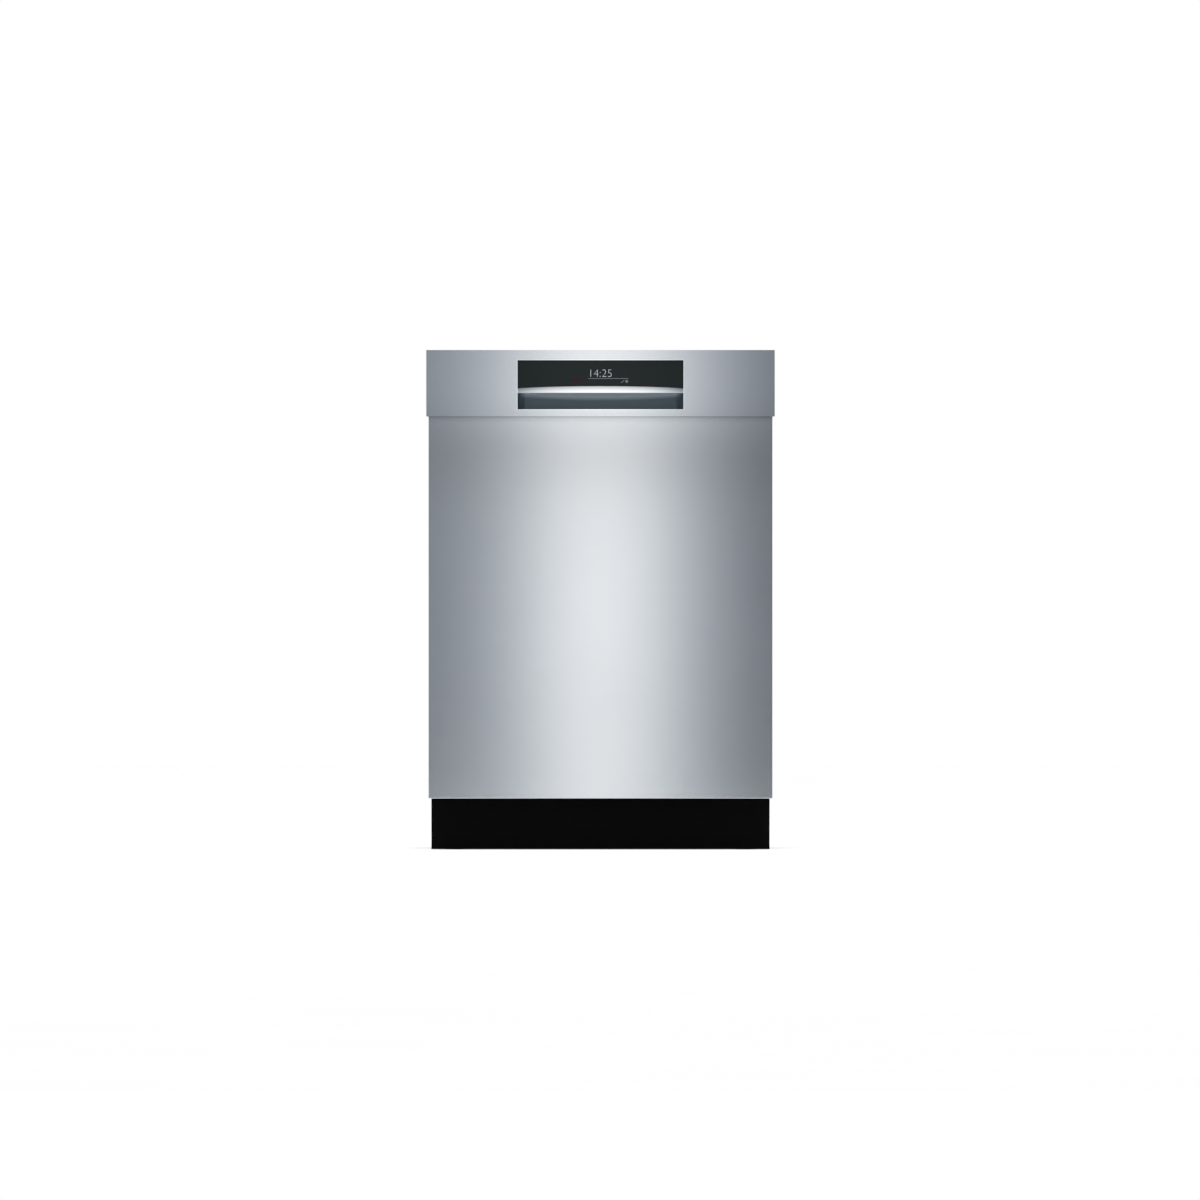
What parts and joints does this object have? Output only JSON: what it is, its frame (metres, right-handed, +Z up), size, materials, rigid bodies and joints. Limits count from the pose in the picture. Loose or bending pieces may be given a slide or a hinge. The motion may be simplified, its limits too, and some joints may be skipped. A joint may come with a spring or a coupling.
{
  "type": "built-in dishwasher",
  "caption": "Built-in dishwasher with a brushed steel drop-down door, a pocket grip and display in a proud console, a recessed black toe panel, and racks inside.",
  "frame": {"origin": "on the floor, under the middle of the appliance's width and depth", "axes": "+X to the right seen from the front, -Y out of the front, +Z up"},
  "size_m": [0.6, 0.603, 0.86],
  "materials": {
    "stainless": "fine horizontal brushing",
    "inner_steel": "smooth satin",
    "galvanised": "matte zinc",
    "bright_trim": "polished",
    "dark_glass": "smooth dark",
    "dark_grey_plastic": "fine grain",
    "black_paint": "satin black",
    "black_plastic": "moulded",
    "grey_metal": "plain",
    "grey_plastic": "moulded",
    "filter_steel": "perforated sheet",
    "gasket_rubber": "smooth",
    "felt": "pressed felt",
    "coated_wire": "smooth coating"
  },
  "bodies": {
    "cabinet": {"tub_wrap": "inner_steel", "tub_rear_wall": "inner_steel", "tub_floor": "inner_steel", "front_frame": "inner_steel", "side_panel_left": "galvanised", "side_panel_right": "galvanised", "rear_panel": "galvanised", "top_cover": "galvanised", "countertop_brackets": "galvanised", "hinge_brackets": "galvanised", "latch_strike": "galvanised", "rack_rails": "galvanised", "cabinet_screws": "galvanised", "toe_panel": "black_paint", "base_tray": "black_plastic", "sump": "black_plastic", "circulation_pump": "black_plastic", "drain_pump": "black_plastic", "inlet_valve": "black_plastic", "spring_housings": "black_plastic", "junction_box": "grey_metal", "spray_riser": "grey_plastic", "tray_rails": "grey_plastic", "filter_screen": "filter_steel", "tub_gasket": "gasket_rubber", "sound_blanket": "felt"},
    "door": {"door_outer_panel": "stainless", "door_inner_liner": "inner_steel", "console_fascia": "stainless", "window_bezel": "bright_trim", "display_glass": "dark_glass", "grip_strip": "bright_trim", "pocket_liner": "dark_grey_plastic", "control_module": "dark_grey_plastic", "dispenser_housing": "grey_plastic", "door_insulation": "felt", "hinge_arms": "galvanised", "latch_housing": "dark_grey_plastic", "door_screws": "galvanised"},
    "lid": {"dispenser_lid": "grey_plastic"},
    "cap": {"rinse_aid_cap": "grey_plastic"},
    "bolt": {"latch_bolt": "dark_grey_plastic"},
    "key_power": {"power_button": "dark_grey_plastic"},
    "key_program": {"program_button": "dark_grey_plastic"},
    "key_start": {"start_button": "dark_grey_plastic"},
    "twist_filter": {"filter_cylinder": "grey_plastic"},
    "impeller": {"pump_impeller": "black_plastic"},
    "arm_low": {"lower_spray_arm": "grey_plastic"},
    "arm_high": {"upper_spray_arm": "grey_plastic"},
    "slides": {"rail_slides": "galvanised"},
    "rack_high": {"upper_rack": "coated_wire"},
    "tray": {"cutlery_tray": "coated_wire"},
    "rack_low": {"lower_rack": "coated_wire"},
    "tines_left": {"tine_row_left": "coated_wire"},
    "tines_right": {"tine_row_right": "coated_wire"},
    "wheels_front": {"front_wheels": "grey_plastic"},
    "wheels_rear": {"rear_wheels": "grey_plastic"},
    "foot_left": {"front_foot_left": "black_plastic"},
    "foot_right": {"front_foot_right": "black_plastic"},
    "feet_rear": {"rear_feet": "black_plastic"}
  },
  "joints": [
    {"name": "door_hinge", "type": "hinge", "parent": "cabinet", "child": "door", "pos_m": [0, -0.262, 0.112], "axis": [1, 0, 0], "range_deg": [0, 90], "stiffness_Nm_per_rad": 25},
    {"name": "lower_rack_slide", "type": "slide", "parent": "cabinet", "child": "rack_low", "axis": [0, -1, 0], "range_m": [0, 0.125]},
    {"name": "rail_slide", "type": "slide", "parent": "cabinet", "child": "slides", "axis": [0, -1, 0], "range_m": [0, 0.22]},
    {"name": "upper_rack_slide", "type": "slide", "parent": "slides", "child": "rack_high", "axis": [0, -1, 0], "range_m": [0, 0.22]},
    {"name": "cutlery_tray_slide", "type": "slide", "parent": "cabinet", "child": "tray", "axis": [0, -1, 0], "range_m": [0, 0.305]},
    {"name": "front_wheel_roll", "type": "hinge", "parent": "rack_low", "child": "wheels_front", "pos_m": [0, -0.11, 0.1623], "axis": [1, 0, 0], "range_deg": [0, 440]},
    {"name": "rear_wheel_roll", "type": "hinge", "parent": "rack_low", "child": "wheels_rear", "pos_m": [0, 0.15, 0.1623], "axis": [1, 0, 0], "range_deg": [0, 440]},
    {"name": "left_tines_fold", "type": "hinge", "parent": "rack_low", "child": "tines_left", "pos_m": [-0.06, 0, 0.1884], "axis": [0, -1, 0], "range_deg": [0, 85]},
    {"name": "right_tines_fold", "type": "hinge", "parent": "rack_low", "child": "tines_right", "pos_m": [0.06, 0, 0.1884], "axis": [0, 1, 0], "range_deg": [0, 85]},
    {"name": "lower_arm_spin", "type": "hinge", "parent": "cabinet", "child": "arm_low", "pos_m": [0, 0.02, 0.166], "axis": [0, 0, 1], "continuous": true},
    {"name": "upper_arm_spin", "type": "hinge", "parent": "rack_high", "child": "arm_high", "pos_m": [0, 0.02, 0.45], "axis": [0, 0, 1], "continuous": true},
    {"name": "filter_twist", "type": "hinge", "parent": "cabinet", "child": "twist_filter", "pos_m": [0.054, 0.02, 0.15], "axis": [0, 0, 1], "range_deg": [0, 90]},
    {"name": "impeller_spin", "type": "hinge", "parent": "cabinet", "child": "impeller", "pos_m": [0, 0.148, 0.09], "axis": [0, 1, 0], "continuous": true},
    {"name": "dispenser_lid_hinge", "type": "hinge", "parent": "door", "child": "lid", "pos_m": [-0.02, -0.225, 0.345], "axis": [-1, 0, 0], "range_deg": [0, 90]},
    {"name": "rinse_cap_twist", "type": "hinge", "parent": "door", "child": "cap", "pos_m": [0.064, -0.2267, 0.4], "axis": [0, 1, 0], "range_deg": [0, 90]},
    {"name": "latch_bolt_slide", "type": "slide", "parent": "door", "child": "bolt", "axis": [0, 0, -1], "range_m": [0, 0.003], "stiffness_N_per_m": 600, "springref_m": -0.002},
    {"name": "power_press", "type": "slide", "parent": "door", "child": "key_power", "axis": [0, 0, -1], "range_m": [0, 0.0012], "stiffness_N_per_m": 800, "springref_m": -0.001},
    {"name": "program_press", "type": "slide", "parent": "door", "child": "key_program", "axis": [0, 0, -1], "range_m": [0, 0.0012], "stiffness_N_per_m": 800, "springref_m": -0.001},
    {"name": "start_press", "type": "slide", "parent": "door", "child": "key_start", "axis": [0, 0, -1], "range_m": [0, 0.0012], "stiffness_N_per_m": 800, "springref_m": -0.001},
    {"name": "left_foot_screw", "type": "slide", "parent": "cabinet", "child": "foot_left", "axis": [0, 0, -1], "range_m": [0, 0.025]},
    {"name": "right_foot_screw", "type": "slide", "parent": "cabinet", "child": "foot_right", "axis": [0, 0, -1], "range_m": [0, 0.025]},
    {"name": "rear_feet_screw", "type": "slide", "parent": "cabinet", "child": "feet_rear", "axis": [0, 0, -1], "range_m": [0, 0.025]}
  ],
  "couplings": [
    {"joint": "lower_rack_slide", "follows": "door_hinge", "m_per_rad": 0.076394},
    {"joint": "rail_slide", "follows": "door_hinge", "m_per_rad": 0.13687},
    {"joint": "upper_rack_slide", "follows": "door_hinge", "m_per_rad": 0.13687},
    {"joint": "cutlery_tray_slide", "follows": "door_hinge", "m_per_rad": 0.19099},
    {"joint": "front_wheel_roll", "follows": "door_hinge", "ratio": 4.7747},
    {"joint": "rear_wheel_roll", "follows": "door_hinge", "ratio": 4.7747}
  ]
}
